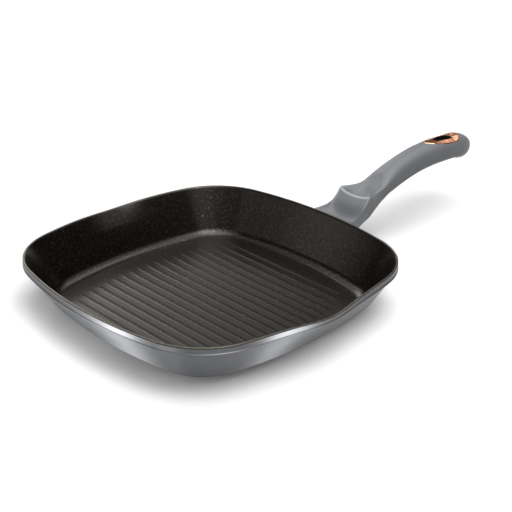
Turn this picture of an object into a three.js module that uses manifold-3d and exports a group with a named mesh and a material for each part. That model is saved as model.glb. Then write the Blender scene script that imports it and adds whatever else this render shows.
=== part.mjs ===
// Square ribbed grill pan with a fixed moulded handle.
// Millimetres, +Z up. The origin is the centre of the flat underside; +X runs
// along the handle, and the two pouring spouts are on the +Y and -Y sides.
import * as THREE from 'three';
import Module from 'manifold-3d';

// ---------------------------------------------------------------- dimensions
// pan body
const PAN_HALF = 140;          // half of the outside width at the rim
const CORNER_R = 67;           // plan radius of the rim's corners
const EDGE_R = 362;            // plan radius of the gently bowed sides
const PAN_H = 46;              // rim above the underside
const FLOOR_T = 4.6;            // floor thickness under the ribs
const WALL_SLOPE = 0.6;        // inward run per mm of depth
const WALL_RUN = 4.2;          // horizontal wall thickness
const BASE_BLEND_R = 35;       // outside radius between wall and base
const FLOOR_FILLET_R = 12;     // inside radius between wall and floor
const COLLAR_H = 6.2;          // band below the rim
const COLLAR_STEP = 2.2;       // how far the wall steps in below the band
const SPOUT_OUT = 3.2;         // pouring spout, outward
const SPOUT_DIP = 2.9;         // pouring spout, downward
const SPOUT_W = 30;            // pouring spout, half width

// grilling ribs
const RIB_COUNT = 19;
const RIB_PITCH = 9.82;
const RIB_H = 0.4;
const RIB_HALF_W = 1.1;
const RIB_REACH = [[0, 91.5], [30, 90.5], [49, 89], [59, 87.5], [69, 85.5], [79, 82], [89, 74]];

// steel plate in the underside
const PLATE_R = 84;
const PLATE_T = 0.9;
const GAP = 0.3;

// handle bracket on the wall
const PAD_TOP = 15, PAD_BOTTOM = 25.5, PAD_HALF_W = 12, PAD_T = 3;   // depths below the rim
const TANG_TOP = 17.2, TANG_BOTTOM = 21.5, TANG_HALF_W = 9, TANG_END = 181;

// fastening from below
const SCREW_X = 173;
const SCREW_R = 2.5, HEAD_R = 4.3, HEAD_H = 2.2;
const RECESS_R = 5, SEAT_DEPTH = 24.6;

// handle: x, height of the widest line over the rim, crown above it, belly
// below it, half width.  The front table ends at the thumb ridge.
const RIDGE_X = 184;
const RIDGE_BOW = 2.5;
const HANDLE_FRONT = [
  [137.2, -8.5, -3.5, 22.5, 26.0],
  [150, -8.0, -5.5, 23.0, 24.0],
  [160, -7.0, -7.5, 23.5, 21.5],
  [168, -5.8, -8.6, 24.5, 20.0],
  [170, -5.0, -8.2, 25.1, 19.8],
  [174, -3.2, -5.8, 26.5, 19.4],
  [179, 1.5, -3.8, 30.5, 19.1],
  [184, 8.0, -3.0, 35.5, 19.0],
];
const HANDLE_BACK = [
  [184, 8.0, -3.0, 35.5, 19.0],
  [185.2, 8.0, -3.1, 35.0, 18.7],
  [192, 7.4, -5.2, 31.2, 17.0],
  [200, 6.9, -4.0, 24.3, 14.9],
  [211, 7.2, 3.1, 17.7, 13.9],
  [225, 8.3, 10.7, 12.4, 13.9],
  [240, 10.7, 13.9, 10.3, 13.4],
  [255, 13.9, 14.3, 9.8, 13.4],
  [272, 16.7, 14.3, 9.8, 13.6],
  [286, 17.9, 14.1, 9.8, 14.0],
  [300, 18.4, 14.3, 9.9, 14.4],
  [318, 17.9, 14.9, 9.9, 14.6],
  [333, 17.2, 14.6, 11.4, 14.0],
  [343, 17.0, 12.8, 12.6, 12.5],
  [351, 16.8, 9.2, 11.0, 9.6],
  [355.5, 16.2, 6.0, 7.2, 6.2],
  [358, 15.8, 0, 0, 0],
];
// how far the sides swell out below the edge behind the ridge: x, mm
const HANDLE_SWELL = [[137, 0], [184, 0], [192, 1.2], [200, 2], [211, 1.3], [225, 0], [360, 0]];
const SCOOP = { x: 205.5, rx: 15.5, ry: 9, depth: 3 };

// hanging eye: half outlines, x and half width
const EYE_OUTER = [[287, 0], [289.5, 3.2], [294, 6.2], [302, 9.2], [313, 10.8], [325.5, 11], [331.5, 9.2], [334.5, 5], [335.3, 0]];
const EYE_INNER = [[301, 0], [302.6, 2.5], [306, 4.4], [310.5, 5.6], [315.5, 6.1], [320, 6], [324.4, 5], [326.8, 2.7], [327.5, 0]];
const EYE_SINK = 1.2;

// ------------------------------------------------------------------ solids
const wasm = await Module();
wasm.setup();

function solid(verts, tris) {
  const key = new Map(), pos = [], idx = [];
  const map = verts.map(([x, y, z]) => {
    const k = `${Math.round(x * 1e4)},${Math.round(y * 1e4)},${Math.round(z * 1e4)}`;
    if (!key.has(k)) { key.set(k, pos.length / 3); pos.push(x, y, z); }
    return key.get(k);
  });
  for (const [a, b, c] of tris) {
    const p = map[a], q = map[b], r = map[c];
    if (p !== q && q !== r && r !== p) idx.push(p, q, r);
  }
  return new wasm.Manifold(new wasm.Mesh({
    numProp: 3, vertProperties: new Float32Array(pos), triVerts: new Uint32Array(idx),
  }));
}

function fromGeometry(geometry, matrix) {
  const g = geometry.clone();
  if (matrix) g.applyMatrix4(matrix);
  const p = g.attributes.position, verts = [], tris = [];
  for (let i = 0; i < p.count; i++) verts.push([p.getX(i), p.getY(i), p.getZ(i)]);
  const n = g.index ? g.index.count : p.count;
  const at = (i) => (g.index ? g.index.getX(i) : i);
  for (let i = 0; i < n; i += 3) tris.push([at(i), at(i + 1), at(i + 2)]);
  return solid(verts, tris);
}

function toMesh(name, body, color, roughness, metalness) {
  const m = body.getMesh();
  const g = new THREE.BufferGeometry();
  const v = new Float32Array((m.vertProperties.length / m.numProp) * 3);
  for (let i = 0, k = 0; i < m.vertProperties.length; i += m.numProp) {
    v[k++] = m.vertProperties[i]; v[k++] = m.vertProperties[i + 1]; v[k++] = m.vertProperties[i + 2];
  }
  g.setAttribute('position', new THREE.BufferAttribute(v, 3));
  g.setIndex(new THREE.BufferAttribute(new Uint32Array(m.triVerts), 1));
  g.computeVertexNormals();
  const mesh = new THREE.Mesh(g, new THREE.MeshStandardMaterial({ color, roughness, metalness }));
  mesh.name = name;
  return mesh;
}

// a skin through closed rings of equal length; the ends are closed by a fan
// to a centre point, and with wrap the last ring joins the first
function skin(rings, { wrap = false, startTip = null, endTip = null, flip = false } = {}) {
  const n = rings[0].length, verts = rings.flat(), tris = [];
  const add = (a, b, c) => tris.push(flip ? [a, c, b] : [a, b, c]);
  const last = wrap ? rings.length : rings.length - 1;
  for (let r = 0; r < last; r++) {
    const s = (r + 1) % rings.length;
    for (let k = 0; k < n; k++) {
      const l = (k + 1) % n;
      add(r * n + k, r * n + l, s * n + l);
      add(r * n + k, s * n + l, s * n + k);
    }
  }
  if (!wrap) {
    const a = verts.length; verts.push(startTip);
    for (let k = 0; k < n; k++) add(a, (k + 1) % n, k);
    const b = verts.length; verts.push(endTip);
    const o = (rings.length - 1) * n;
    for (let k = 0; k < n; k++) add(b, o + k, o + ((k + 1) % n));
  }
  return solid(verts, tris);
}

const cylinder = (r, z0, z1, x = 0, y = 0, n = 48) => fromGeometry(
  new THREE.CylinderGeometry(r, r, z1 - z0, n),
  new THREE.Matrix4().makeTranslation(x, y, (z0 + z1) / 2).multiply(new THREE.Matrix4().makeRotationX(Math.PI / 2)),
);
const box = (x0, x1, y0, y1, z0, z1) => fromGeometry(
  new THREE.BoxGeometry(x1 - x0, y1 - y0, z1 - z0),
  new THREE.Matrix4().makeTranslation((x0 + x1) / 2, (y0 + y1) / 2, (z0 + z1) / 2),
);
// an outline in the XZ plane, extruded along Y from -w to w
function slab(points, w) {
  const shape = new THREE.Shape(points.map(([x, z]) => new THREE.Vector2(x, z)));
  const g = new THREE.ExtrudeGeometry(shape, { depth: 2 * w, bevelEnabled: false });
  const m = new THREE.Matrix4().makeRotationX(Math.PI / 2).setPosition(0, w, 0);
  return fromGeometry(g, m);
}

// monotone cubic through a table of points
function curve(table, col) {
  const x = table.map((r) => r[0]), y = table.map((r) => r[col]), n = x.length;
  const h = [], d = [], m = new Array(n).fill(0);
  for (let i = 0; i < n - 1; i++) { h.push(x[i + 1] - x[i]); d.push((y[i + 1] - y[i]) / h[i]); }
  for (let i = 1; i < n - 1; i++) {
    if (d[i - 1] * d[i] > 0) {
      const a = 2 * h[i] + h[i - 1], b = h[i] + 2 * h[i - 1];
      m[i] = (a + b) / (a / d[i - 1] + b / d[i]);
    }
  }
  m[0] = d[0]; m[n - 1] = d[n - 2];
  return (v) => {
    if (v <= x[0]) return y[0];
    if (v >= x[n - 1]) return y[n - 1];
    let k = 0;
    while (v > x[k + 1]) k++;
    const t = (v - x[k]) / h[k], s = 1 - t;
    return (1 + 2 * t) * s * s * y[k] + t * s * s * h[k] * m[k]
      + t * t * (3 - 2 * t) * y[k + 1] + t * t * (t - 1) * h[k] * m[k + 1];
  };
}
const smooth = (t) => { const s = Math.min(1, Math.max(0, t)); return s * s * (3 - 2 * s); };

// ---------------------------------------------------------------- pan body
// the rim's outer line with its outward normals
const OUTLINE = (() => {
  const c0 = PAN_HALF - EDGE_R;
  const q = (c0 + Math.sqrt(2 * (EDGE_R - CORNER_R) ** 2 - c0 * c0)) / 2;
  const half = Math.atan2(q, q - c0);
  const out = [];
  for (let side = 0; side < 4; side++) {
    const turn = (side * Math.PI) / 2, co = Math.cos(turn), si = Math.sin(turn);
    const put = (x, y, a) => out.push({
      x: x * co - y * si, y: x * si + y * co, nx: Math.cos(a + turn), ny: Math.sin(a + turn),
    });
    const ne = side % 2 ? 16 : 8, nc = 10;
    for (let i = 0; i < ne; i++) {
      const a = -half + (2 * half * i) / ne;
      put(c0 + EDGE_R * Math.cos(a), EDGE_R * Math.sin(a), a);
    }
    for (let i = 0; i < nc; i++) {
      const a = half + ((Math.PI / 2 - 2 * half) * i) / nc;
      put(q + CORNER_R * Math.cos(a), q + CORNER_R * Math.sin(a), a);
    }
  }
  return out;
})();

// one ring of the pan, inset from the rim line, at a depth below the rim
function panRing(inset, depth) {
  const fade = Math.max(0, 1 - depth / 26) ** 1.5, dip = Math.max(0, 1 - depth / 16);
  return OUTLINE.map((o) => {
    const x = o.x - o.nx * inset, y = o.y - o.ny * inset;
    const g = Math.abs(o.ny) > 0.9 ? Math.exp(-((x / SPOUT_W) ** 2)) : 0;
    return [x, y + Math.sign(y) * SPOUT_OUT * g * fade, PAN_H - depth - SPOUT_DIP * g * dip];
  });
}
const WALL_TOP = COLLAR_H + 2, WALL_IN = 0.9 + COLLAR_STEP;
const outerInset = (depth) => WALL_IN + (depth - WALL_TOP) * WALL_SLOPE;
const innerInset = (depth) => outerInset(depth) + WALL_RUN;
const TILT = Math.atan(WALL_SLOPE), TURN = Math.PI / 2 - TILT;
const FLOOR_DEPTH = PAN_H - FLOOR_T;

function panBody() {
  const p = [];
  // outside, from the flat base up to the rim
  const tb = BASE_BLEND_R * Math.tan(TURN / 2), ib = outerInset(PAN_H) + tb;
  for (let i = 0; i <= 7; i++) {
    const a = (TURN * i) / 7;
    p.push([ib - BASE_BLEND_R * Math.sin(a), PAN_H - BASE_BLEND_R + BASE_BLEND_R * Math.cos(a)]);
  }
  const top = p[p.length - 1];
  for (const f of [0.5]) {
    const d = top[1] + (WALL_TOP - top[1]) * f;
    p.push([outerInset(d), d]);
  }
  p.push([WALL_IN, WALL_TOP], [1.7, COLLAR_H + 0.9], [0.9, COLLAR_H], [0, 1.8], [0.5, 0.45], [1.6, 0]);
  // inside, from the rim down to the floor
  p.push([2.8, 0.5], [innerInset(2), 2]);
  const tf = FLOOR_FILLET_R * Math.tan(TURN / 2), fi = innerInset(FLOOR_DEPTH) + tf;
  const wallFoot = FLOOR_DEPTH - FLOOR_FILLET_R + FLOOR_FILLET_R * Math.cos(TURN);
  for (const d of [(2 + wallFoot) / 2]) p.push([innerInset(d), d]);
  for (let i = 0; i <= 6; i++) {
    const a = TURN * (1 - i / 6);
    p.push([fi - FLOOR_FILLET_R * Math.sin(a), FLOOR_DEPTH - FLOOR_FILLET_R + FLOOR_FILLET_R * Math.cos(a)]);
  }
  let body = skin(p.map(([i, d]) => panRing(i, d)), { startTip: [0, 0, 0], endTip: [0, 0, FLOOR_T] });

  // ribs along Y, rounded over and run out at both ends
  const reach = curve(RIB_REACH, 1);
  const sec = [[-1, -1.2], [1, -1.2], [1, 0], [0.68, 0.75], [0, 1], [-0.68, 0.75], [-1, 0]];
  for (let k = 0; k < RIB_COUNT; k++) {
    const x = (k - (RIB_COUNT - 1) / 2) * RIB_PITCH, L = reach(Math.abs(x));
    const at = (y, f) => sec.map(([u, v]) => [x + u * RIB_HALF_W, y, FLOOR_T + (v > 0 ? v * RIB_H * f - (1 - f) * 0.3 : v)]);
    const rings = [at(-L, 0), at(-L + 1.2, 0.62), at(-L + 4, 1), at(L - 4, 1), at(L - 1.2, 0.62), at(L, 0)];
    const mid = (y) => [x, y, FLOOR_T - 0.8];
    body = body.add(skin(rings, { startTip: mid(-L), endTip: mid(L), flip: true }));
  }
  // seat of the steel plate
  return body.subtract(cylinder(PLATE_R + GAP, -2, PLATE_T + GAP, 0, 0, 64));
}

// ------------------------------------------------------------------ handle
const FRONT = [1, 2, 3, 4].map((c) => curve(HANDLE_FRONT, c));
const BACK = [1, 2, 3, 4].map((c) => curve(HANDLE_BACK, c));
const swell = curve(HANDLE_SWELL, 1);
const station = (x) => (x < RIDGE_X ? FRONT : BACK).map((f) => f(x));
const ROOT_X = HANDLE_FRONT[0][0];
const power = (v, e) => Math.sign(v) * Math.abs(v) ** e;

function handleTop(x, u) {
  const [e, c, , b] = station(x);
  const m = smooth((c + 2) / 6), q = 1 - 0.08 * m, k = 1.1 - 0.18 * m;
  const y = b * power(Math.sin(u), q);
  let z = e + c * Math.abs(Math.cos(u)) ** k;
  // the scoop ends crisply towards the grip and runs out behind the ridge
  const ry = SCOOP.ry + 5 * smooth((SCOOP.x - x) / 18);
  const r = (Math.max(x - SCOOP.x, 0) / SCOOP.rx) ** 2 + (y / ry) ** 2;
  if (r < 1) z -= SCOOP.depth * smooth((x - RIDGE_X - 0.6) / 7) * (1 - r) ** 0.75;
  const bow = RIDGE_BOW * (1 - (y / Math.max(b, 1)) ** 2) * Math.exp(-(((x - RIDGE_X) / 9) ** 2));
  return [x - bow, y, z];
}
function handleBottom(x, u) {
  const [e, , B, b] = station(x);
  const y = b * power(Math.sin(u), 0.85) + 2 * swell(x) * Math.sin(u) * Math.abs(Math.cos(u));
  return [x, y, e - B * Math.abs(Math.cos(u)) ** 0.9];
}
// lean the root so that it follows the sloping, bowed wall
function lean([x, y, z], s) {
  const f = 1 - smooth((s - ROOT_X) / 28);
  return [x + f * ((z + 8.5) * WALL_SLOPE - (y * y) / (2 * EDGE_R)), y, z + PAN_H];
}
function handleSection(x, nt = 14, nb = 18) {
  const out = [];
  for (let i = 0; i < nt; i++) out.push(lean(handleTop(x, -Math.PI / 2 + (Math.PI * i) / nt), x));
  for (let i = 0; i < nb; i++) out.push(lean(handleBottom(x, Math.PI / 2 - (Math.PI * i) / nb), x));
  return out;
}
// height of the handle's upper and lower skin behind the thumb scoop
function upper(x, y) {
  const [e, c, , b] = station(x);
  const s = Math.min(1, Math.abs(y) / b) ** (1 / 0.92);
  return PAN_H + e + c * Math.sqrt(1 - s * s) ** 0.92;
}
function lower(x, y) {
  const [e, , B, b] = station(x);
  const s = Math.min(1, Math.abs(y) / b) ** (1 / 0.85);
  return PAN_H + e - B * Math.sqrt(1 - s * s) ** 0.9;
}
const wallX = (depth) => PAN_HALF - outerInset(depth);
const z = (depth) => PAN_H - depth;
const ring = (half) => [...half, ...half.slice(1, -1).reverse().map(([x, y]) => [x, -y])];
// an outline grown outwards by d
function grow(points, d) {
  const n = points.length;
  return points.map(([x, y], i) => {
    const [ax, ay] = points[(i + n - 1) % n], [bx, by] = points[(i + 1) % n];
    const tx = bx - ax, ty = by - ay, l = Math.hypot(tx, ty);
    return [x - (ty / l) * d, y + (tx / l) * d];
  });
}

function handleGrip() {
  const xs = [ROOT_X, 141, 146, 152, 158, 163, 167, 170, 173, 176, 178.5, 181, 182.8, 184, 186, 189, 193, 197, 201,
    205, 209, 213, 218, 223, 229, 236, 244, 253, 263, 273, 283, 293, 303, 313, 323, 332, 338.5, 343.5, 347.8, 351.2, 354, 356, 357.3];
  const tip = [358, 0, PAN_H + station(358)[0]];
  let body = skin(xs.map((x) => handleSection(x)), { startTip: lean([ROOT_X, 0, -20], ROOT_X), endTip: tip, flip: true });
  // seat of the pad, slot of the tang
  body = body.subtract(slab([[wallX(PAD_TOP - 0.5) - 9, z(PAD_TOP - 0.5)], [wallX(PAD_BOTTOM + 0.5) - 9, z(PAD_BOTTOM + 0.5)],
    [wallX(PAD_BOTTOM + 0.5) + PAD_T + 0.9, z(PAD_BOTTOM + 0.5)], [wallX(PAD_TOP - 0.5) + PAD_T + 0.9, z(PAD_TOP - 0.5)]], PAD_HALF_W + 0.5));
  body = body.subtract(box(124, TANG_END + 0.6, -TANG_HALF_W - 0.4, TANG_HALF_W + 0.4, z(TANG_BOTTOM + 0.4), z(TANG_TOP - 0.4)));
  // screw recess and clearance hole from below
  body = body.subtract(cylinder(RECESS_R, z(40), z(SEAT_DEPTH), SCREW_X, 0, 32));
  body = body.subtract(cylinder(SCREW_R + GAP, z(30), z(19), SCREW_X, 0, 24));
  // opening for the hanging eye
  const o = grow(ring(EYE_OUTER), GAP);
  const v = (h) => o.map(([x, y]) => [x, y, h]);
  body = body.subtract(skin([v(PAN_H - 5), v(PAN_H + 50)], { startTip: [310, 0, PAN_H - 5], endTip: [310, 0, PAN_H + 50], flip: true }));
  return body;
}

function hangingEye() {
  const o = ring(EYE_OUTER), i = ring(EYE_INNER);
  const crown = (x) => upper(x, 0);
  return skin([
    o.map(([x, y]) => [x, y, lower(x, y) + 0.6]),
    o.map(([x, y]) => [x, y, upper(x, y) + 0.15]),
    i.map(([x, y]) => [x, y, crown(x) - EYE_SINK]),
    i.map(([x, y]) => [x, y, lower(x, 0) + 0.6]),
  ], { wrap: true, flip: true });
}

// ------------------------------------------------------ bracket and fixings
function handleBracket() {
  const g = 0.4;
  const pad = slab([[wallX(PAD_TOP) + g, z(PAD_TOP)], [wallX(PAD_BOTTOM) + g, z(PAD_BOTTOM)],
    [wallX(PAD_BOTTOM) + g + PAD_T, z(PAD_BOTTOM)], [wallX(PAD_TOP) + g + PAD_T, z(PAD_TOP)]], PAD_HALF_W);
  const tang = box(wallX(TANG_TOP) + g + 0.4, TANG_END, -TANG_HALF_W, TANG_HALF_W, z(TANG_BOTTOM), z(TANG_TOP));
  return pad.add(tang).subtract(cylinder(SCREW_R + GAP, z(30), z(10), SCREW_X, 0, 24));
}

const WASHER_TOP = SEAT_DEPTH + GAP, WASHER_T = 0.8, LOCK_T = 1.0;
const LOCK_TOP = WASHER_TOP + WASHER_T + GAP, HEAD_TOP = LOCK_TOP + LOCK_T + GAP;

function handleScrew() {
  const zt = z(TANG_TOP + 0.4), zh = z(HEAD_TOP), zb = z(HEAD_TOP + HEAD_H);
  const profile = [[0, zb], [HEAD_R - 0.4, zb], [HEAD_R, zb + 0.5], [HEAD_R, zh], [SCREW_R, zh], [SCREW_R, zt - 0.8], [SCREW_R - 0.8, zt], [0, zt]];
  const lathe = new THREE.LatheGeometry(profile.map(([r, h]) => new THREE.Vector2(r, h)), 24);
  const m = new THREE.Matrix4().makeTranslation(SCREW_X, 0, 0).multiply(new THREE.Matrix4().makeRotationX(Math.PI / 2));
  let body = fromGeometry(lathe, m);
  // cross recess in the head
  for (const [a, b] of [[2.2, 0.45], [0.45, 2.2]]) {
    body = body.subtract(box(SCREW_X - a, SCREW_X + a, -b, b, zb - 1, zb + 1.3));
  }
  return body;
}
function flatRing(ri, ro, top, thick, slit) {
  let body = cylinder(ro, z(top + thick), z(top), SCREW_X, 0, 32).subtract(cylinder(ri, z(top + thick + 1), z(top - 1), SCREW_X, 0, 24));
  if (slit) body = body.subtract(box(SCREW_X + ri - 1, SCREW_X + ro + 1, -slit / 2, slit / 2, z(top + thick + 1), z(top - 1)));
  return body;
}

// ---------------------------------------------------------------- assembly
const pan = new THREE.Group();
const handle = new THREE.Group();
pan.add(
  toMesh('pan_body', panBody(), 0x3a3633, 0.45, 0.3),
  toMesh('induction_plate', cylinder(PLATE_R, 0, PLATE_T, 0, 0, 64), 0xb9bbbd, 0.35, 1),
  toMesh('handle_bracket', handleBracket(), 0x9fa1a3, 0.4, 1),
);
handle.add(
  toMesh('handle_grip', handleGrip(), 0x7f8184, 0.6, 0),
  toMesh('hanging_eye', hangingEye(), 0xe0936a, 0.25, 1),
  toMesh('handle_screw', handleScrew(), 0xa8aaac, 0.35, 1),
  toMesh('lock_washer', flatRing(SCREW_R + 0.4, 4.2, LOCK_TOP, LOCK_T, 0.8), 0xa0a2a4, 0.4, 1),
  toMesh('flat_washer', flatRing(SCREW_R + 0.4, 4.6, WASHER_TOP, WASHER_T, 0), 0xb4b6b8, 0.35, 1),
);

const grillPan = new THREE.Group();
grillPan.name = 'grill_pan';
grillPan.add(pan, handle);
export default grillPan;
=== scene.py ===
"""Square ribbed grill pan with a fixed soft-touch handle, on a plain white studio floor.

Lengths are worked out in millimetres in the pan's own frame and turned into metres when a
mesh is made: the origin is the centre of the flat underside, +X runs along the handle, +Z is up.
"""
import math

import bmesh
import bpy
import numpy as np
from mathutils import Matrix, Vector
from mathutils.geometry import delaunay_2d_cdt


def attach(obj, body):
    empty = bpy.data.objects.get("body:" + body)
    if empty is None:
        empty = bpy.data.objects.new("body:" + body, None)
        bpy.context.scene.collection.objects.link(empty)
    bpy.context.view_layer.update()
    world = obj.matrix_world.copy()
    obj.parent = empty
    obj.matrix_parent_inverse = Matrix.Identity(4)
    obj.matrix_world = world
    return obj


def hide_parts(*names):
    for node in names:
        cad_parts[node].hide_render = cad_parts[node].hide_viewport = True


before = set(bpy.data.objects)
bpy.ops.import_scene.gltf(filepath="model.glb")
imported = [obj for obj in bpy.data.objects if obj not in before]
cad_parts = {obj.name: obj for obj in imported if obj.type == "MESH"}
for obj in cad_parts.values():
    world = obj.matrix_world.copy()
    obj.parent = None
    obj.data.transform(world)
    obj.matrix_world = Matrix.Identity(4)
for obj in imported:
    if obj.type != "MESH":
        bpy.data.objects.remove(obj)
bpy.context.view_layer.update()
MM = 0.001

# ----------------------------------------------------------------------------- small helpers


def smooth(t):
    t = np.clip(t, 0.0, 1.0)
    return t * t * (3 - 2 * t)


def pchip(table, col, squared_from=None):
    """Monotone cubic through a column of a table, as a function of its first column."""
    x = np.array([r[0] for r in table], float)
    y = np.array([r[col] for r in table], float)
    if squared_from is not None:
        y = y * np.abs(y)
    h = np.diff(x)
    d = np.diff(y) / h
    m = np.zeros_like(x)
    for i in range(1, len(x) - 1):
        if d[i - 1] * d[i] > 0:
            a, b = 2 * h[i] + h[i - 1], h[i] + 2 * h[i - 1]
            m[i] = (a + b) / (a / d[i - 1] + b / d[i])
    m[0], m[-1] = d[0], d[-1]

    def at(v):
        v = np.clip(np.asarray(v, float), x[0], x[-1])
        k = np.clip(np.searchsorted(x, v, side="right") - 1, 0, len(h) - 1)
        t = (v - x[k]) / h[k]
        s = 1 - t
        r = (
            (1 + 2 * t) * s * s * y[k]
            + t * s * s * h[k] * m[k]
            + t * t * (3 - 2 * t) * y[k + 1]
            + t * t * (t - 1) * h[k] * m[k + 1]
        )
        return np.sign(r) * np.sqrt(np.abs(r)) if squared_from is not None else r

    return at


def rounded(points, radii, steps=5):
    """A polyline with its inner corners rounded by arcs of about the given radii."""
    out = [np.array(points[0], float)]
    for p, q, r, rad in zip(points[:-2], points[1:-1], points[2:], radii):
        p, q, r = (np.array(v, float) for v in (p, q, r))
        a, b = p - q, r - q
        la, lb = np.linalg.norm(a), np.linalg.norm(b)
        a, b = a / la, b / lb
        ang = math.acos(max(-1.0, min(1.0, float(a @ b))))
        cut = min(rad / max(math.tan(ang / 2), 1e-3), 0.48 * la, 0.48 * lb)
        if rad <= 0 or ang > math.pi - 0.02:
            out.append(q)
            continue
        s, e = q + a * cut, q + b * cut
        for i in range(steps + 1):
            t = i / steps
            out.append((1 - t) ** 2 * s + 2 * t * (1 - t) * q + t * t * e)
    out.append(np.array(points[-1], float))
    return np.array(out)


def subdivided(points, longest):
    """The polyline with no segment longer than that."""
    out = [np.array(points[0], float)]
    for p, q in zip(points[:-1], points[1:]):
        p, q = np.array(p, float), np.array(q, float)
        n = max(1, math.ceil(np.linalg.norm(q - p) / longest))
        out += [p + (q - p) * (i / n) for i in range(1, n + 1)]
    return np.array(out)


def new_object(name, verts, faces, materials, face_mats=None, sharp=None, uv=None):
    me = bpy.data.meshes.new(name)
    me.from_pydata([tuple(v) for v in np.asarray(verts, float) * MM], [], [list(map(int, f)) for f in faces])
    for m in materials:
        me.materials.append(m)
    if face_mats is not None:
        me.polygons.foreach_set("material_index", np.asarray(face_mats, np.int32))
    me.polygons.foreach_set("use_smooth", np.ones(len(me.polygons), bool))
    if uv is not None:
        layer = me.uv_layers.new(name="brush")
        idx = np.zeros(len(me.loops), np.int32)
        me.loops.foreach_get("vertex_index", idx)
        layer.data.foreach_set("uv", np.asarray(uv, np.float32)[idx].ravel())
    me.validate()
    me.update()
    if sharp is not None:
        me.set_sharp_from_angle(angle=math.radians(sharp))
    ob = bpy.data.objects.new(name, me)
    bpy.context.scene.collection.objects.link(ob)
    return ob


def ring_faces(n, rings, closed=True, start=0):
    """Quads of a skin through rings of n points each, the rings numbered from start."""
    out = []
    for r in range(rings - 1):
        a, b = start + r * n, start + (r + 1) * n
        for k in range(n if closed else n - 1):
            l = (k + 1) % n
            out.append((a + k, a + l, b + l, b + k))
    return out


def apply_boolean(ob, cutter, operation="DIFFERENCE"):
    mod = ob.modifiers.new("cut", "BOOLEAN")
    mod.operation, mod.object, mod.solver = operation, cutter, "EXACT"
    dg = bpy.context.evaluated_depsgraph_get()
    me = bpy.data.meshes.new_from_object(ob.evaluated_get(dg))
    ob.modifiers.clear()
    old = ob.data
    ob.data = me
    me.name = ob.name
    bpy.data.meshes.remove(old)
    bpy.data.objects.remove(cutter)


# ------------------------------------------------------------------------------- materials


class Nodes:
    """A short way to write shader nodes."""

    def __init__(self, name):
        self.mat = bpy.data.materials.new(name)
        self.mat.use_nodes = True
        self.t = self.mat.node_tree
        self.bsdf = next(n for n in self.t.nodes if n.type == "BSDF_PRINCIPLED")

    def add(self, kind, **values):
        n = self.t.nodes.new(kind)
        for k, v in values.items():
            if k.startswith("_"):
                setattr(n, k[1:], v)
            else:
                n.inputs[k.replace("_", " ")].default_value = v
        return n

    def link(self, a, b):
        self.t.links.new(a, b)

    def coords(self, scale=(1, 1, 1), rot=(0, 0, 0)):
        """Object coordinates in millimetres, times scale."""
        tc = self.add("ShaderNodeTexCoord")
        mp = self.add("ShaderNodeMapping")
        mp.inputs["Scale"].default_value = tuple(1000.0 * s for s in scale)
        mp.inputs["Rotation"].default_value = rot
        self.link(tc.outputs["Object"], mp.inputs["Vector"])
        return mp.outputs["Vector"]

    def noise(self, vec, scale, detail=2.0, rough=0.5):
        n = self.add("ShaderNodeTexNoise", Scale=scale, Detail=detail, Roughness=rough)
        self.link(vec, n.inputs["Vector"])
        return n.outputs["Fac"]

    def cells(self, vec, scale):
        n = self.add("ShaderNodeTexVoronoi", Scale=scale)
        self.link(vec, n.inputs["Vector"])
        return n

    def ramp(self, fac, stops, mode="LINEAR"):
        n = self.add("ShaderNodeValToRGB")
        n.color_ramp.interpolation = mode
        el = n.color_ramp.elements
        while len(el) < len(stops):
            el.new(0.5)
        for e, (pos, col) in zip(el, stops):
            e.position = pos
            e.color = (*col, 1.0) if hasattr(col, "__len__") else (col, col, col, 1.0)
        self.link(fac, n.inputs["Fac"])
        return n.outputs["Color"]

    def remap(self, fac, lo, hi, a=0.0, b=1.0):
        n = self.add("ShaderNodeMapRange")
        n.inputs["From Min"].default_value, n.inputs["From Max"].default_value = lo, hi
        n.inputs["To Min"].default_value, n.inputs["To Max"].default_value = a, b
        self.link(fac, n.inputs["Value"])
        return n.outputs["Result"]

    def math(self, op, a, b):
        n = self.add("ShaderNodeMath", _operation=op)
        for s, v in zip(n.inputs, (a, b)):
            if isinstance(v, (int, float)):
                s.default_value = v
            else:
                self.link(v, s)
        return n.outputs["Value"]

    def mix(self, fac, a, b, blend="MIX"):
        n = self.add("ShaderNodeMix", _data_type="RGBA", _blend_type=blend)
        ins = [s for s in n.inputs if s.type == "RGBA"]
        for s, v in zip(ins, (a, b)):
            if hasattr(v, "__len__"):
                s.default_value = (*v, 1.0)
            else:
                self.link(v, s)
        f = n.inputs[0]
        if isinstance(fac, (int, float)):
            f.default_value = fac
        else:
            self.link(fac, f)
        return next(s for s in n.outputs if s.type == "RGBA")

    def bump(self, height, strength, distance_mm, normal=None):
        n = self.add("ShaderNodeBump", Strength=strength, Distance=distance_mm * MM)
        self.link(height, n.inputs["Height"])
        if normal is not None:
            self.link(normal, n.inputs["Normal"])
        return n.outputs["Normal"]

    def set(self, **values):
        for k, v in values.items():
            s = self.bsdf.inputs[k.replace("_", " ")]
            if isinstance(v, (int, float, tuple)):
                s.default_value = v if not (isinstance(v, tuple) and len(v) == 3) else (*v, 1.0)
            else:
                self.link(v, s)
        return self.mat


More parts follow.
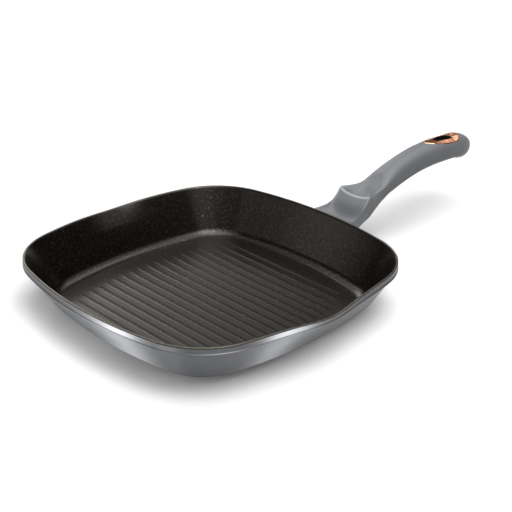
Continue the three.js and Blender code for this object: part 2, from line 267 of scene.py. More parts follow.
def nonstick():
    """Dark warm charcoal coating with a fine sparkle of tilted mica flecks."""
    m = Nodes("pan_nonstick")
    v = m.coords()
    grain = m.noise(v, 1.4, 3.0, 0.62)
    cloud = m.noise(v, 0.05, 2.0)
    base = m.ramp(grain, [(0.30, (0.0020, 0.0013, 0.0013)), (0.52, (0.0036, 0.0026, 0.0025)), (0.74, (0.0075, 0.0062, 0.0056))])
    base = m.mix(m.remap(cloud, 0.35, 0.65, 0.0, 0.35), base, (0.0044, 0.0034, 0.0031))
    fleck = m.cells(v, 1.05)
    sep = m.add("ShaderNodeSeparateColor")
    m.link(fleck.outputs["Color"], sep.inputs["Color"])
    picked = m.math("GREATER_THAN", sep.outputs["Red"], 0.80)
    near = m.remap(fleck.outputs["Distance"], 0.22, 0.36, 1.0, 0.0)
    spark = m.math("MULTIPLY", picked, near)
    col = m.mix(spark, base, (0.20, 0.184, 0.16))
    rough = m.remap(grain, 0.25, 0.75, 0.21, 0.26)
    peel = m.noise(v, 0.55, 1.0)
    n = m.bump(peel, 0.13, 0.08)
    n = m.bump(grain, 0.10, 0.06, n)
    # each fleck leans its own way
    lean = m.add("ShaderNodeVectorMath", _operation="SUBTRACT")
    m.link(fleck.outputs["Color"], lean.inputs[0])
    lean.inputs[1].default_value = (0.5, 0.5, 0.5)
    part = m.add("ShaderNodeVectorMath", _operation="SCALE")
    m.link(lean.outputs["Vector"], part.inputs[0])
    m.link(m.math("MULTIPLY", spark, 0.16), part.inputs["Scale"])
    tilt = m.add("ShaderNodeVectorMath", _operation="ADD")
    m.link(n, tilt.inputs[0])
    m.link(part.outputs["Vector"], tilt.inputs[1])
    unit = m.add("ShaderNodeVectorMath", _operation="NORMALIZE")
    m.link(tilt.outputs["Vector"], unit.inputs[0])
    return m.set(Base_Color=col, Roughness=rough, Metallic=spark, Specular_IOR_Level=0.42,
                 Specular_Tint=(1.0, 0.95, 0.85), Normal=unit.outputs["Vector"])


def lacquer():
    """Silver-grey metallic lacquer over horizontally brushed aluminium."""
    m = Nodes("pan_silver_lacquer")
    v = m.coords()
    flake = m.noise(v, 2.2, 2.0, 0.6)
    streak = m.noise(m.coords((0.02, 0.02, 2.6)), 1.0, 3.0, 0.6)
    broad = m.noise(m.coords((0.006, 0.006, 0.35)), 1.0, 2.0)
    tone = m.ramp(streak, [(0.3, (0.128, 0.131, 0.136)), (0.7, (0.200, 0.204, 0.211))])
    tone = m.mix(m.remap(flake, 0.3, 0.7, 0.0, 0.25), tone, (0.215, 0.219, 0.226))
    rough = m.remap(streak, 0.3, 0.7, 0.36, 0.46)
    rough = m.math("ADD", rough, m.remap(broad, 0.3, 0.7, -0.03, 0.03))
    n = m.bump(streak, 0.18, 0.04)
    n = m.bump(flake, 0.10, 0.02, n)
    tan = m.add("ShaderNodeTangent", _direction_type="UV_MAP", _uv_map="brush")
    m.link(tan.outputs["Tangent"], m.bsdf.inputs["Tangent"])
    return m.set(Base_Color=tone, Metallic=1.0, Roughness=rough, Anisotropic=1.0, Anisotropic_Rotation=0.25, Normal=n,
                 Coat_Weight=0.15, Coat_Roughness=0.15)


def band_polish():
    """Turned band under the lip: the same lacquer over a finer brushing."""
    m = Nodes("pan_band_polish")
    line = m.noise(m.coords((0.03, 0.03, 3.2)), 1.0, 3.0, 0.6)
    cloud = m.noise(m.coords(), 0.03, 2.0)
    col = m.ramp(line, [(0.3, (0.120, 0.123, 0.128)), (0.7, (0.178, 0.182, 0.188))])
    col = m.mix(m.remap(cloud, 0.35, 0.65, 0.0, 0.4), col, (0.152, 0.155, 0.161))
    tan = m.add("ShaderNodeTangent", _direction_type="UV_MAP", _uv_map="brush")
    m.link(tan.outputs["Tangent"], m.bsdf.inputs["Tangent"])
    return m.set(Base_Color=col, Metallic=1.0, Roughness=m.remap(line, 0.3, 0.7, 0.32, 0.40), Anisotropic=0.9,
                 Anisotropic_Rotation=0.25, Normal=m.bump(line, 0.12, 0.03))


def lip_edge():
    """The lip's flat top, where the coating is worn thin to the metal."""
    m = Nodes("pan_lip_edge")
    v = m.coords()
    wear = m.noise(v, 0.35, 3.0, 0.6)
    fine = m.noise(v, 1.8, 2.0)
    col = m.ramp(wear, [(0.3, (0.110, 0.100, 0.082)), (0.7, (0.215, 0.196, 0.160))])
    col = m.mix(m.remap(fine, 0.35, 0.65, 0.0, 0.4), col, (0.13, 0.118, 0.098))
    return m.set(Base_Color=col, Metallic=0.85, Roughness=m.remap(fine, 0.3, 0.7, 0.28, 0.38), Normal=m.bump(fine, 0.15, 0.03))


def soft_touch():
    """Matt soft-touch grey with a fine moulded grain, and a painted highlight along the thumb ridge and apron edges."""
    m = Nodes("grip_soft_touch")
    v = m.coords()
    grain = m.noise(v, 2.6, 2.0, 0.55)
    cloud = m.noise(v, 0.045, 2.0)
    col = m.ramp(grain, [(0.3, (0.146, 0.153, 0.162)), (0.7, (0.188, 0.196, 0.206))])
    col = m.mix(m.remap(cloud, 0.35, 0.7, 0.0, 0.5), col, (0.159, 0.166, 0.174))
    # painted highlight: the thumb ridge and the apron edges are lightened in the base colour where light would catch
    # them
    edge = m.add("ShaderNodeAttribute")
    edge.attribute_name = "painted_edge_highlight"
    col = m.mix(edge.outputs["Fac"], col, (0.42, 0.43, 0.445))
    rough = m.remap(grain, 0.25, 0.75, 0.36, 0.46)
    n = m.bump(grain, 0.22, 0.05)
    return m.set(Base_Color=col, Roughness=rough, Specular_IOR_Level=0.35, Normal=n)


def rose_gold():
    """Polished rose-gold metallising with faint rub marks."""
    m = Nodes("eye_rose_gold")
    v = m.coords()
    rub = m.noise(m.coords((0.25, 2.4, 0.6)), 1.0, 2.0)
    wear = m.noise(v, 0.5, 2.0)
    col = m.ramp(wear, [(0.3, (0.95, 0.40, 0.225)), (0.7, (0.98, 0.48, 0.295))])
    rough = m.remap(rub, 0.3, 0.7, 0.24, 0.33)
    n = m.bump(rub, 0.05, 0.02)
    return m.set(Base_Color=col, Metallic=1.0, Roughness=rough, Normal=n)


def bore_plastic_and_shade():
    """Unplated dark plastic inside the hanging hole, its near-black colour partly painted shade of the deep hole."""
    m = Nodes("eye_bore_plastic_and_shade")
    v = m.coords()
    g = m.noise(v, 2.0, 2.0)
    # near-black: dark plastic, partly painted shade of the deep hole
    col = m.ramp(g, [(0.3, (0.004, 0.004, 0.004)), (0.7, (0.008, 0.0078, 0.0075))])
    return m.set(Base_Color=col, Roughness=m.remap(g, 0.3, 0.7, 0.6, 0.75), Specular_IOR_Level=0.25, Normal=m.bump(g, 0.15, 0.03))


def turned_steel():
    """Steel with fine concentric turning marks."""
    m = Nodes("turned_steel")
    tc = m.coords()
    sep = m.add("ShaderNodeSeparateXYZ")
    m.link(tc, sep.inputs["Vector"])
    x2 = m.math("MULTIPLY", sep.outputs["X"], sep.outputs["X"])
    y2 = m.math("MULTIPLY", sep.outputs["Y"], sep.outputs["Y"])
    r = m.math("SQRT", m.math("ADD", x2, y2), 0.0)
    comb = m.add("ShaderNodeCombineXYZ")
    m.link(r, comb.inputs["X"])
    line = m.noise(comb.outputs["Vector"], 1.6, 3.0, 0.65)
    stain = m.noise(tc, 0.06, 3.0)
    col = m.ramp(line, [(0.3, (0.47, 0.47, 0.475)), (0.7, (0.60, 0.60, 0.605))])
    col = m.mix(m.remap(stain, 0.4, 0.75, 0.0, 0.3), col, (0.44, 0.43, 0.42))
    n = m.bump(line, 0.25, 0.05)
    return m.set(Base_Color=col, Metallic=1.0, Roughness=m.remap(line, 0.3, 0.7, 0.26, 0.40), Normal=n)


def plated_steel():
    """Zinc-plated steel for the fixings."""
    m = Nodes("plated_steel")
    v = m.coords()
    g = m.noise(v, 1.8, 3.0, 0.6)
    c = m.noise(v, 0.2, 2.0)
    col = m.ramp(g, [(0.3, (0.48, 0.485, 0.49)), (0.7, (0.60, 0.605, 0.61))])
    col = m.mix(m.remap(c, 0.4, 0.7, 0.0, 0.3), col, (0.50, 0.49, 0.45))
    n = m.bump(g, 0.15, 0.03)
    return m.set(Base_Color=col, Metallic=1.0, Roughness=m.remap(g, 0.3, 0.7, 0.28, 0.42), Normal=n)


MAT_COAT = nonstick()
MAT_LACQUER = lacquer()
MAT_BAND = band_polish()
MAT_LIP = lip_edge()
MAT_GRIP = soft_touch()
MAT_EYE = rose_gold()
MAT_BORE_AND_SHADE = bore_plastic_and_shade()
MAT_PLATE = turned_steel()
MAT_FIX = plated_steel()

# -------------------------------------------------------------------------------- pan body

PAN_HALF, CORNER_R, EDGE_R, PAN_H, FLOOR_T = 140.0, 67.0, 362.0, 46.0, 4.6
SLOPE, WALL_RUN, BASE_R, FILLET_R = 0.6, 4.2, 35.0, 12.0
SPOUT_OUT, SPOUT_DIP, SPOUT_W = 3.2, 2.9, 30.0
FLOOR_D = PAN_H - FLOOR_T
TURN = math.pi / 2 - math.atan(SLOPE)


def outer_inset(d):
    return 3.1 + (d - 8.2) * SLOPE


def inner_inset(d):
    return outer_inset(d) + WALL_RUN


def rim_outline(ne=60, nc=40):
    """Points of the rim's outer line and their outward normals, anticlockwise."""
    c0 = PAN_HALF - EDGE_R
    q = (c0 + math.sqrt(2 * (EDGE_R - CORNER_R) ** 2 - c0 * c0)) / 2
    half = math.atan2(q, q - c0)
    pts, nrm = [], []
    for side in range(4):
        turn = side * math.pi / 2
        rot = np.array([[math.cos(turn), -math.sin(turn)], [math.sin(turn), math.cos(turn)]])
        for i in range(ne):
            a = -half + 2 * half * i / ne
            pts.append(rot @ [c0 + EDGE_R * math.cos(a), EDGE_R * math.sin(a)])
            nrm.append([math.cos(a + turn), math.sin(a + turn)])
        for i in range(nc):
            a = half + (math.pi / 2 - 2 * half) * i / nc
            pts.append(rot @ [q + CORNER_R * math.cos(a), q + CORNER_R * math.sin(a)])
            nrm.append([math.cos(a + turn), math.sin(a + turn)])
    return np.array(pts), np.array(nrm)


RIM_P, RIM_N = rim_outline()
N_RING = len(RIM_P)
ARC = np.concatenate([[0], np.cumsum(np.linalg.norm(np.diff(np.vstack([RIM_P, RIM_P[:1]]), axis=0), axis=1))])


def pan_ring(inset, depth):
    p = RIM_P - RIM_N * inset
    g = np.where(np.abs(RIM_N[:, 1]) > 0.9, np.exp(-((p[:, 0] / SPOUT_W) ** 2)), 0.0)
    fade = max(0.0, 1 - depth / 26) ** 1.5
    dip = max(0.0, 1 - depth / 16)
    y = p[:, 1] + np.sign(p[:, 1]) * SPOUT_OUT * g * fade
    return np.column_stack([p[:, 0], y, PAN_H - depth - SPOUT_DIP * g * dip])


RIBS, PITCH, RIB_H, RIB_W, RUN_OUT = 19, 9.82, 0.4, 1.1, 6.5
reach = pchip([[0, 91.5], [30, 90.5], [49, 89], [59, 87.5], [69, 85.5], [79, 82], [89, 74], [92, 71]], 1)


def rib_height(x, y):
    k = np.clip(np.round(x / PITCH), -(RIBS // 2), RIBS // 2)
    xc = k * PITCH
    end = reach(np.abs(xc))
    u = (x - xc) / RIB_W
    v = np.maximum(0.0, (np.abs(y) - (end - RUN_OUT)) / RUN_OUT)
    s = np.hypot(u, v)
    return RIB_H * (1 - smooth((s - 0.16) / 0.84))


def build_pan():
    # outside, from the flat base up to the groove under the lip
    tb = BASE_R * math.tan(TURN / 2)
    ib = outer_inset(PAN_H) + tb
    outside = [(ib + 1.5, PAN_H)]
    outside += [(ib - BASE_R * math.sin(a), PAN_H - BASE_R + BASE_R * math.cos(a)) for a in np.linspace(0, TURN, 26)]
    wall = subdivided([outside[-1], (outer_inset(9.6), 9.6)], 2.2)[1:]
    neck = rounded(
        [tuple(wall[-1]), (3.05, 8.45), (4.2, 7.95), (4.2, 7.3), (0.5, 6.75), (0.0, 6.2), (0.0, 5.65), (0.6, 5.2), (1.1, 1.5), (1.2, 1.15)],
        [0.25, 0.15, 0.15, 0.3, 0.2, 0.2, 0.25, 0.12],
        4,
    )
    n_wall = len(outside) + len(wall) + 6
    outside = np.vstack([outside, wall, neck[1:]])
    # the coated lip and the inside, from the groove down to the floor
    lip = rounded(
        [(1.2, 1.15), (0.3, 0.95), (0.3, 0.35), (0.65, 0.0), (2.1, 0.0), (inner_inset(1.0), 1.0), (inner_inset(4.5), 4.5)],
        [0.12, 0.25, 0.25, 0.5, 1.2],
        5,
    )
    n_lip = 12
    tf = FILLET_R * math.tan(TURN / 2)
    fi = inner_inset(FLOOR_D) + tf
    fillet = [
        (fi - FILLET_R * math.sin(a), FLOOR_D - FILLET_R + FILLET_R * math.cos(a)) for a in np.linspace(TURN, 0, 26)
    ]
    inside = np.vstack([lip[1:], subdivided([lip[-1], fillet[0]], 2.0)[1:], fillet[1:]])
    profile = np.vstack([outside, inside])
    n_out = len(outside)
    along = np.concatenate([[0], np.cumsum(np.linalg.norm(np.diff(profile, axis=0), axis=1))])

    # seat of the steel plate, round, seen from below
    seat_r, seat_h = 84.3, 1.2
    ang = np.arctan2(RIM_P[:, 1], RIM_P[:, 0])
    circle = np.column_stack([np.cos(ang), np.sin(ang)])
    below = []
    for r, z in [(0.0, seat_h), (40.0, seat_h), (seat_r, seat_h), (seat_r, 0.25), (seat_r + 0.25, 0.0)]:
        below.append(np.column_stack([circle * max(r, 0.02), np.full(N_RING, z)]))
    rings = below + [pan_ring(i, d) for i, d in profile]
    nb = len(below)
    verts = np.vstack(rings)
    faces = ring_faces(N_RING, len(rings))
    mats = []
    for r in range(len(rings) - 1):
        k = r - nb
        mats += [(0 if k < n_wall else 2) if k < n_out - 1 else (3 if n_lip <= k - n_out < n_lip + 9 else 1)] * N_RING
    uv_v = np.concatenate([np.zeros(nb), along]) * MM
    uv = np.column_stack([np.tile(ARC[:-1] * MM, len(rings)), np.repeat(uv_v, N_RING)])
    # centre of the seat
    base = len(verts)
    verts = np.vstack([verts, [[0, 0, seat_h]]])
    uv = np.vstack([uv, [[0, 0]]])
    faces += [(base, (k + 1) % N_RING, k) for k in range(N_RING)]
    mats += [0] * N_RING

    # the ribbed patch of the floor: columns across the ribs, each with its own length
    xs = []
    for k in range(-(RIBS // 2), RIBS // 2 + 1):
        xs += list(k * PITCH + RIB_W * np.array([-1.0, -0.84, -0.7, -0.56, -0.42, -0.28, -0.14, 0, 0.14, 0.28, 0.42, 0.56, 0.7, 0.84, 1.0]))
        if k < RIBS // 2:
            xs += list(k * PITCH + RIB_W + (PITCH - 2 * RIB_W) * np.array([0.25, 0.5, 0.75]))
    xs = np.array([xs[0] - 0.4] + xs + [xs[-1] + 0.4])
    near = np.array([0, 0.6, 1.2, 1.8, 2.4, 3.0, 3.6, 4.2, 4.8, 5.4, 6.0, 6.6, 7.4, 8.4])
    mid = np.linspace(-1, 1, 27)
    cols = []
    for x in xs:
        ye = float(reach(abs(x))) + 0.7
        y = np.concatenate([-(ye - near), mid[1:-1] * (ye - 9.6), (ye - near)[::-1]])
        cols.append(np.column_stack([np.full(len(y), x), y, FLOOR_T + rib_height(np.full(len(y), x), y)]))
    nx, ny = len(cols), len(cols[0])
    p0 = len(verts)
    patch = np.vstack(cols)
    verts = np.vstack([verts, patch])
    uv = np.vstack([uv, patch[:, :2] * MM])
    for i in range(nx - 1):
        for j in range(ny - 1):
            a, b = p0 + i * ny + j, p0 + (i + 1) * ny + j
            faces.append((a, b, b + 1, a + 1))
            mats.append(1)
    # flat floor between the patch and the fillet
    o0 = (len(rings) - 1) * N_RING
    loop_o = list(range(o0, o0 + N_RING))
    loop_p = (
        [p0 + i * ny for i in range(nx)]
        + [p0 + (nx - 1) * ny + j for j in range(1, ny)]
        + [p0 + i * ny + ny - 1 for i in range(nx - 2, -1, -1)]
        + [p0 + j for j in range(ny - 2, 0, -1)]
    )
    ids = loop_o + loop_p
    pts = [Vector(verts[i][:2]) for i in ids]
    no, npch = len(loop_o), len(loop_p)
    edges = [(k, (k + 1) % no) for k in range(no)] + [(no + k, no + (k + 1) % npch) for k in range(npch)]
    v2, _, f2, orig, _, _ = delaunay_2d_cdt(pts, edges, [], 0, 1e-7)
    poly = verts[loop_p][:, :2]
    back = [ids[o[0]] for o in orig]

    def in_patch(c):
        if not (poly[:, 0].min() < c[0] < poly[:, 0].max()):
            return False
        return abs(c[1]) < float(reach(abs(c[0]))) + 0.7 - 1e-3

    for f in f2:
        c = np.mean([v2[i] for i in f], axis=0)
        if not in_patch(c):
            g = [back[i] for i in f]
            a, b, d = (verts[i] for i in g)
            up = (b[0] - a[0]) * (d[1] - a[1]) - (b[1] - a[1]) * (d[0] - a[0])
            faces.append(tuple(g) if up > 0 else tuple(reversed(g)))
            mats.append(1)
    ob = new_object("pan_body_shell", verts, faces, [MAT_LACQUER, MAT_COAT, MAT_BAND, MAT_LIP], mats, None, uv)
    bm = bmesh.new()
    bm.from_mesh(ob.data)
    bmesh.ops.remove_doubles(bm, verts=bm.verts, dist=1e-7)
    bmesh.ops.recalc_face_normals(bm, faces=bm.faces)
    bm.to_mesh(ob.data)
    bm.free()
    ob.data.set_sharp_from_angle(angle=math.radians(50))
    return ob


pan = build_pan()

# ---------------------------------------------------------------------------------- handle

RIDGE_X, RIDGE_BOW, ROOT_X = 184.0, 2.5, 137.2
FRONT_T = [
    [137.2, -8.5, -3.5, 22.5, 26.0], [150, -8.0, -5.5, 23.0, 24.0], [160, -7.0, -7.5, 23.5, 21.5],
    [168, -5.8, -8.6, 24.5, 20.0], [170, -5.0, -8.2, 25.1, 19.8], [174, -3.2, -5.8, 26.5, 19.4], [179, 1.5, -3.8, 30.5, 19.1],
    [184, 8.0, -3.0, 35.5, 19.0],
]
BACK_T = [
    [184, 8.0, -3.0, 35.5, 19.0], [185.2, 8.0, -3.1, 35.0, 18.7], [192, 7.4, -5.2, 31.2, 17.0], [200, 6.9, -4.0, 24.3, 14.9],
    [211, 7.2, 3.1, 17.7, 13.9], [225, 8.3, 10.7, 12.4, 13.9], [240, 10.7, 13.9, 10.3, 13.4],
    [255, 13.9, 14.3, 9.8, 13.4], [272, 16.7, 14.3, 9.8, 13.6], [286, 17.9, 14.1, 9.8, 14.0],
    [300, 18.4, 14.3, 9.9, 14.4], [318, 17.9, 14.9, 9.9, 14.6], [333, 17.2, 14.6, 11.4, 14.0],
    [343, 17.0, 12.8, 12.6, 12.5], [351, 16.8, 9.2, 11.0, 9.6], [355.5, 16.2, 6.0, 7.2, 6.2],
    [358, 15.8, 0, 0, 0],
]
SCOOP_X, SCOOP_RX, SCOOP_RY, SCOOP_D = 205.5, 15.5, 9.0, 3.0
F_COL = [pchip(FRONT_T, c) for c in (1, 2, 3, 4)]
B_COL = [pchip(BACK_T, c) for c in (1, 2, 3, 4)]
E_COL = [None] + [pchip(BACK_T, c, True) for c in (2, 3, 4)]
bulge = pchip([[137, 0], [184, 0], [192, 1.2], [200, 2.0], [211, 1.3], [225, 0], [360, 0]], 1)


def station(x):
    """Height of the widest line over the rim, crown, belly and half width at x."""
    if x < RIDGE_X:
        return [float(f(x)) for f in F_COL]
    e, c, b, w = [float(f(x)) for f in B_COL]
    if x > 333:
        k = float(smooth((x - 333) / 8))
        c, b, w = [(1 - k) * o + k * float(E_COL[i](x)) for i, o in ((1, c), (2, b), (3, w))]
    return e, c, b, w


def power(v, e):
    return np.sign(v) * np.abs(v) ** e


def handle_section(x, nt, nb):
    e, c, B, b = station(x)
    u = -math.pi / 2 + math.pi * np.arange(nt) / nt
    m = float(smooth((c + 2) / 6))
    q, k = 1 - 0.08 * m, 1.1 - 0.18 * m
    y = b * power(np.sin(u), q)
    z = e + c * np.abs(np.cos(u)) ** k
    # the scoop ends crisply towards the grip and runs out behind the ridge
    r = (max(x - SCOOP_X, 0.0) / SCOOP_RX) ** 2 + (y / (SCOOP_RY + 5 * float(smooth((SCOOP_X - x) / 18)))) ** 2
    z = z - SCOOP_D * float(smooth((x - RIDGE_X - 0.6) / 7)) * np.maximum(0, 1 - r) ** 0.75
    bow = RIDGE_BOW * (1 - (y / max(b, 1.0)) ** 2) * math.exp(-(((x - RIDGE_X) / 9) ** 2))
    top = np.column_stack([x - bow, y, z])
    w = math.pi / 2 - math.pi * np.arange(nb) / nb
    swell = float(bulge(x)) * np.sin(w) * np.abs(np.cos(w)) * 2
    bottom = np.column_stack([np.full(nb, x), b * power(np.sin(w), 0.85) + swell, e - B * np.abs(np.cos(w)) ** 0.9])
    p = np.vstack([top, bottom])
    f = 1 - float(smooth((x - ROOT_X) / 28))
    p[:, 0] += f * ((p[:, 2] + 8.5) * SLOPE - p[:, 1] ** 2 / (2 * EDGE_R))
    p[:, 2] += PAN_H
    return p


def gauss_closed(p, sigma):
    """Rounds the corners of a closed section, by about sigma, whatever its spacing."""
    seg = np.linalg.norm(np.roll(p, -1, axis=0) - p, axis=1)
    s = np.concatenate([[0], np.cumsum(seg)[:-1]])
    total = seg.sum()
    ds = 0.5 * (seg + np.roll(seg, 1))
    d = s[:, None] - s[None, :]
    d = (d + total / 2) % total - total / 2
    w = np.exp(-(d**2) / (2 * sigma**2)) * np.maximum(ds, 1e-6)[None, :]
    return (w @ p) / w.sum(axis=1, keepdims=True)


def gauss_open(p, sigma):
    seg = np.linalg.norm(np.diff(p, axis=0), axis=1)
    s = np.concatenate([[0], np.cumsum(seg)])
    ds = np.concatenate([[seg[0]], 0.5 * (seg[1:] + seg[:-1]), [seg[-1]]])
    d = s[:, None] - s[None, :]
    w = np.exp(-(d**2) / (2 * sigma**2)) * np.maximum(ds, 1e-6)[None, :]
    q = (w @ p) / w.sum(axis=1, keepdims=True)
    keep = np.clip(np.minimum(s, s[-1] - s) / (3 * sigma), 0, 1)[:, None]
    return keep * q + (1 - keep) * p


def build_handle():
    nt, nb = 72, 84
    xs = np.concatenate([
        np.linspace(ROOT_X, 172, 30)[:-1], np.linspace(172, 180, 13)[:-1], np.linspace(180, 188, 27)[:-1],
        np.linspace(188, 224, 46)[:-1], np.linspace(224, 333, 56)[:-1],
        333 + 25 * np.sin(np.linspace(0, math.pi / 2, 40)),
    ])[:-1]
    grid = np.array([handle_section(x, nt, nb) for x in xs])
    grid = np.array([gauss_closed(s, 0.32) for s in grid])
    lo, hi = np.searchsorted(xs, 150), np.searchsorted(xs, 235)
    for j in range(grid.shape[1]):
        grid[lo:hi, j] = gauss_open(grid[lo:hi, j], 0.32)
    # rounded edge where the root meets the wall
    n = nt + nb
    root = grid[0]
    cen = root.mean(axis=0)
    inner = cen + (root - cen) * 0.965
    inner[:, 0] -= 0.0
    rings = [inner] + [grid[0] + (grid[1] - grid[0]) * 0.35] + [g for g in grid[1:]]
    verts = np.vstack(rings)
    faces = ring_faces(n, len(rings))
    a = len(verts)
    tip = np.array([358.0, 0, PAN_H + 15.8])
    verts = np.vstack([verts, [cen], [tip]])
    faces += [(a, (k + 1) % n, k) for k in range(n)]
    o = (len(rings) - 1) * n
    faces += [(a + 1, o + k, o + (k + 1) % n) for k in range(n)]
    edges = np.vstack([grid[:, 0], grid[:, nt]])
    ob = new_object("handle_grip_shell", verts, faces, [MAT_GRIP])
    bm = bmesh.new()
    bm.from_mesh(ob.data)
    bmesh.ops.remove_doubles(bm, verts=bm.verts, dist=2e-6)
    bmesh.ops.recalc_face_normals(bm, faces=bm.faces)
    bm.to_mesh(ob.data)
    bm.free()
    return ob, edges


def upper(x, y):
    e, c, _, b = station(x)
    s = min(1.0, abs(y) / b) ** (1 / 0.92)
    return PAN_H + e + c * math.sqrt(1 - s * s) ** 0.92


def lower(x, y):
    e, _, B, b = station(x)
    s = min(1.0, abs(y) / b) ** (1 / 0.85)
    return PAN_H + e - B * math.sqrt(1 - s * s) ** 0.9


EYE_OUTER = [[287, 0], [289.5, 3.2], [294, 6.2], [302, 9.2], [313, 10.8], [325.5, 11], [331.5, 9.2], [334.5, 5], [335.3, 0]]
EYE_INNER = [[301, 0], [302.6, 2.5], [306, 4.4], [310.5, 5.6], [315.5, 6.1], [320, 6], [324.4, 5], [326.8, 2.7], [327.5, 0]]
EYE_SINK = [1.0, 1.2, 1.5, 1.8, 2.0, 2.1, 2.1, 2.1, 2.1]


def mirrored(half):
    return np.array(half + [[x, -y] for x, y in reversed(half[1:-1])], float)


def grown(p, d):
    t = np.roll(p, -1, axis=0) - np.roll(p, 1, axis=0)
    t = t / np.linalg.norm(t, axis=1, keepdims=True)
    return p + d * np.column_stack([-t[:, 1], t[:, 0]])


def prism(name, outline, z0, z1):
    n = len(outline)
    v = np.vstack([np.column_stack([outline, np.full(n, z)]) for z in (z0, z1)])
    f = [(k, (k + 1) % n, n + (k + 1) % n, n + k) for k in range(n)]
    f += [tuple(reversed(range(n))), tuple(range(n, 2 * n))]
    ob = new_object(name, v, f, [])
    bm = bmesh.new()
    bm.from_mesh(ob.data)
    bmesh.ops.recalc_face_normals(bm, faces=bm.faces)
    bm.to_mesh(ob.data)
    bm.free()
    return ob


def round_outline(cx, r, n):
    a = 2 * math.pi * np.arange(n) / n
    return np.column_stack([cx + r * np.cos(a), r * np.sin(a)])


grip, grip_edges = build_handle()
apply_boolean(grip, prism("cut_eye", grown(mirrored(EYE_OUTER), 0.3), PAN_H - 5, PAN_H + 50))
apply_boolean(grip, prism("cut_screw", round_outline(173.0, 5.0, 64), PAN_H - 45, PAN_H - 24.6))
grip.data.polygons.foreach_set("use_smooth", np.ones(len(grip.data.polygons), bool))
grip.data.set_sharp_from_angle(angle=math.radians(55))


def paint_edge_highlights(ob, lines):
    """Weights of the painted highlight along the thumb ridge and the two edges of the apron, fading out along the grip.
    """
    me = ob.data
    co = np.empty(3 * len(me.vertices))
    me.vertices.foreach_get("co", co)
    co = co.reshape(-1, 3) * (1000.0 if np.abs(co).max() < 5 else 1.0)
    w = np.zeros(len(co))
    for k, (x, y, z) in enumerate(co):
        if not 140 < x < 215:
            continue
        run = max(x + RIDGE_BOW * (1 - min(1.0, abs(y) / 19.0) ** 2), ROOT_X)
        e, c, _, b = station(run)
        if z > PAN_H + e + c * math.sqrt(1 - min(1.0, abs(y) / b) ** 2) - 1.0:
            w[k] = math.exp(-(((run - RIDGE_X) / 0.8) ** 2))
        off = float(np.sqrt(((lines - (x, y, z)) ** 2).sum(axis=1).min()))
        fade = float(smooth((x - 146) / 10)) * (1 - float(smooth((x - 190) / 18)))
        w[k] = max(w[k], 0.6 * fade * math.exp(-((off / 1.5) ** 2)))
    att = me.attributes.new("painted_edge_highlight", "FLOAT", "POINT")
    att.data.foreach_set("value", w.astype(np.float32))


# weights of the painted edge highlight on the grip
paint_edge_highlights(grip, grip_edges)


def build_eye():
    """A faceted funnel round the hanging hole, flush with the handle's skin."""
    o, i = mirrored(EYE_OUTER), mirrored(EYE_INNER)
    sink = EYE_SINK + EYE_SINK[-2:0:-1]
    edge = [upper(x, 0.0) - d for (x, _), d in zip(i, sink)]
    bore = grown(i, -0.35)
    rings = [
        np.array([[x, y, lower(x, y) + 0.6] for x, y in o]),
        np.array([[x, y, upper(x, y) - 0.25] for x, y in o]),
        np.array([[x, y, upper(x, y) + 0.12] for x, y in i + (o - i) * 0.93]),
        np.array([[x, y, z] for (x, y), z in zip(i, edge)]),
        np.array([[x, y, z - 0.5] for (x, y), z in zip(bore, edge)]),
        np.array([[x, y, lower(x, 0.0) + 0.6] for x, y in bore]),
    ]
    n = len(o)
    verts = np.vstack(rings)
    faces = ring_faces(n, len(rings))
    last = (len(rings) - 1) * n
    faces += [(last + k, last + (k + 1) % n, (k + 1) % n, k) for k in range(n)]
    mats = []
    for r in range(len(rings)):
        # the bore faces get the dark plastic, partly painted shade of the hole
        mats += [1 if r >= 3 else 0] * n
    ob = new_object("hanging_eye_facets", verts, faces, [MAT_EYE, MAT_BORE_AND_SHADE], mats)
    bm = bmesh.new()
    bm.from_mesh(ob.data)
    bmesh.ops.triangulate(bm, faces=bm.faces)
    bmesh.ops.recalc_face_normals(bm, faces=bm.faces)
    bm.to_mesh(ob.data)
    bm.free()
    ob.data.polygons.foreach_set("use_smooth", np.zeros(len(ob.data.polygons), bool))
    return ob


eye = build_eye()

for piece, node, slot in ((pan, "pan_body", "coated_aluminium"), (grip, "handle_grip", "soft_touch_grey"), (eye, "hanging_eye", "rose_gold_trim")):
    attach(piece, "root")
    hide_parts(node)

for node, mat in (
    ("induction_plate", MAT_PLATE), ("handle_bracket", MAT_FIX), ("handle_screw", MAT_FIX),
    ("lock_washer", MAT_FIX), ("flat_washer", MAT_FIX),
):
    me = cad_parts[node].data
    me.materials.clear()
    me.materials.append(mat)

# ------------------------------------------------------------------------- floor and lights

fm = Nodes("white_floor")
speck = fm.noise(fm.coords(), 0.02, 2.0)
fm.set(Base_Color=fm.ramp(speck, [(0.3, 0.86), (0.7, 0.88)]), Roughness=0.9, Specular_IOR_Level=0.1)
n = 64
ang = 2 * math.pi * np.arange(n) / n
floor = new_object("studio_floor", np.column_stack([6000 * np.cos(ang), 6000 * np.sin(ang), np.full(n, -0.2)]), [tuple(range(n))], [fm.mat])
floor.visible_diffuse = False

# a plain pale backdrop behind the floor's edge, seen but casting and blocking no light
bm_ = Nodes("white_backdrop")
glow = bm_.add("ShaderNodeEmission", Color=(1, 1, 1, 1), Strength=1.0)
bm_.link(glow.outputs[0], next(x for x in bm_.mat.node_tree.nodes if x.type == "OUTPUT_MATERIAL").inputs["Surface"])
low_ring = np.column_stack([5900 * np.cos(ang), 5900 * np.sin(ang), np.full(n, -40.0)])
backdrop = new_object("studio_backdrop", np.vstack([low_ring, low_ring + [0, 0, 4500]]), [((k + 1) % n, k, n + k, n + (k + 1) % n) for k in range(n)], [bm_.mat])
for ray in ("diffuse", "glossy", "transmission", "volume_scatter", "shadow"):
    setattr(backdrop, "visible_" + ray, False)

world = bpy.data.worlds.new("studio")
bpy.context.scene.world = world
world.use_nodes = True
bg = next(x for x in world.node_tree.nodes if x.type == "BACKGROUND")
bg.inputs["Color"].default_value = (1, 1, 1, 1)
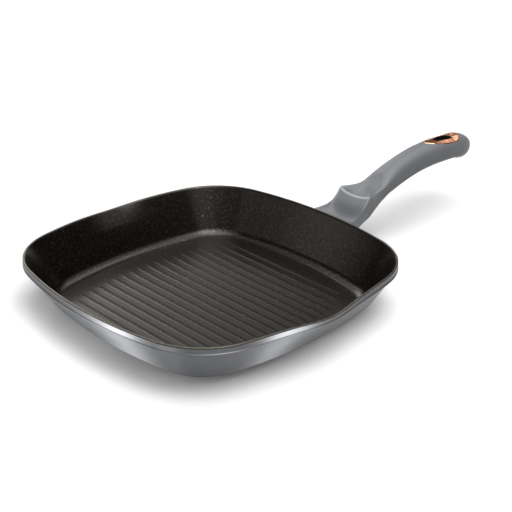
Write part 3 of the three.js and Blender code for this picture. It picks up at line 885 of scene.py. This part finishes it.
# soft boxes round the set, as lobes of the surrounding light: azimuth from +X, elevation, reach, strength
LOBES = [
    (0, 90, 26, 2.2), (0, 75, 26, 1.6), (90, 72, 26, 0.35), (180, 70, 26, 1.1), (270, 72, 26, 0.9), (282, 62, 22, 5.0),
    (240, 64, 22, 1.9), (254, 50, 22, 0.7), (270, 42, 18, 0.35), (230, 48, 16, 0.4), (340, 48, 20, 0.95), (200, 45, 22, 0.3),
    (0, 51, 20, 0.3), (8, 51, 11, 1.6), (18, 43, 16, 1.1), (94, 49, 20, 0.38), (85, 35, 16, 1.6), (60, 36, 12, 1.5), (66, 30, 12, 2.8),
    (49, 27, 11, 0.68), (165, 30, 18, 0.5), (136, 21, 16, 0.75), (20, 6, 16, 0.5), (141, 5, 9, 10.0), (148, 5, 9, 10.0),
    (155, 5, 9, 3.0), (175, 5, 12, 5.5), (190, 5, 12, 4.5),
]
HORIZON, GROUND = 0.25, 0.16


def studio(lobes):
    t = world.node_tree
    tc = t.nodes.new("ShaderNodeTexCoord")

    def lobe(axis, lo, hi, strength):
        d = t.nodes.new("ShaderNodeVectorMath")
        d.operation = "DOT_PRODUCT"
        d.inputs[1].default_value = axis
        t.links.new(tc.outputs["Generated"], d.inputs[0])
        r = t.nodes.new("ShaderNodeMapRange")
        r.interpolation_type = "SMOOTHSTEP"
        r.inputs["From Min"].default_value, r.inputs["From Max"].default_value = lo, hi
        r.inputs["To Min"].default_value, r.inputs["To Max"].default_value = 0.0, strength
        t.links.new(d.outputs["Value"], r.inputs["Value"])
        return r.outputs["Result"]

    # the level below the horizon, a pale band round it, then the boxes
    low = lobe((0, 0, 1), 0.02, -0.06, GROUND - HORIZON)
    band = lobe((0, 0, 1), math.sin(math.radians(9)), math.sin(math.radians(3)), HORIZON)
    first = t.nodes.new("ShaderNodeMath")
    first.operation = "ADD"
    t.links.new(low, first.inputs[0])
    t.links.new(band, first.inputs[1])
    total = first.outputs["Value"]
    for az, el, reach_, power_ in lobes:
        a, e = math.radians(az), math.radians(el)
        axis = (math.cos(a) * math.cos(e), math.sin(a) * math.cos(e), math.sin(e))
        s = t.nodes.new("ShaderNodeMath")
        s.operation = "ADD"
        t.links.new(total, s.inputs[0])
        t.links.new(lobe(axis, math.cos(math.radians(reach_)), 1.0, power_), s.inputs[1])
        total = s.outputs["Value"]
    t.links.new(total, bg.inputs["Strength"])


studio(LOBES)


def strip(name, spot, az, far, wide, high, watts):
    """A small soft box standing beside the pan, turned to the spot it lights."""
    lamp = bpy.data.lights.new(name, "AREA")
    lamp.shape, lamp.size, lamp.size_y = "RECTANGLE", wide * MM, high * MM
    lamp.energy, lamp.spread = watts, math.radians(50)
    ob = bpy.data.objects.new(name, lamp)
    bpy.context.scene.collection.objects.link(ob)
    a = math.radians(az)
    ob.location = Vector((spot[0] + far * math.cos(a), spot[1] + far * math.sin(a), 52)) * MM
    ob.rotation_euler = (Vector(spot) * MM - ob.location).to_track_quat("-Z", "Y").to_euler()
    ob.visible_camera = False


strip("strip_left", (-125, 15, 22), 158, 330, 80, 60, 0.075)
strip("strip_right", (15, -128, 22), 284, 330, 60, 60, 0.07)


# ---------------------------------------------------------------------------------- camera

F_PX, AZ, EL, DIST, ROLL = 1116.54, -0.768, 0.442, 949.58, 0.012
target = Vector((26.51, -28.295, 46.0)) * MM
back = Vector((math.sin(AZ) * math.cos(EL), -math.cos(AZ) * math.cos(EL), math.sin(EL)))
right = (-back).cross(Vector((0, 0, 1))).normalized()
up = right.cross(-back)
r2 = math.cos(ROLL) * right + math.sin(ROLL) * up
u2 = -math.sin(ROLL) * right + math.cos(ROLL) * up
cam = bpy.data.cameras.new("camera")
cam.sensor_width = 36.0
cam.lens = 36.0 * F_PX / 512
cam.clip_start, cam.clip_end = 0.05, 50
cam_ob = bpy.data.objects.new("camera", cam)
bpy.context.scene.collection.objects.link(cam_ob)
cam_ob.matrix_world = Matrix.Translation(target + back * DIST * MM) @ Matrix((r2, u2, back)).transposed().to_4x4()
bpy.context.scene.camera = cam_ob
bpy.context.scene.view_settings.view_transform = "Standard"

bpy.context.view_layer.update()
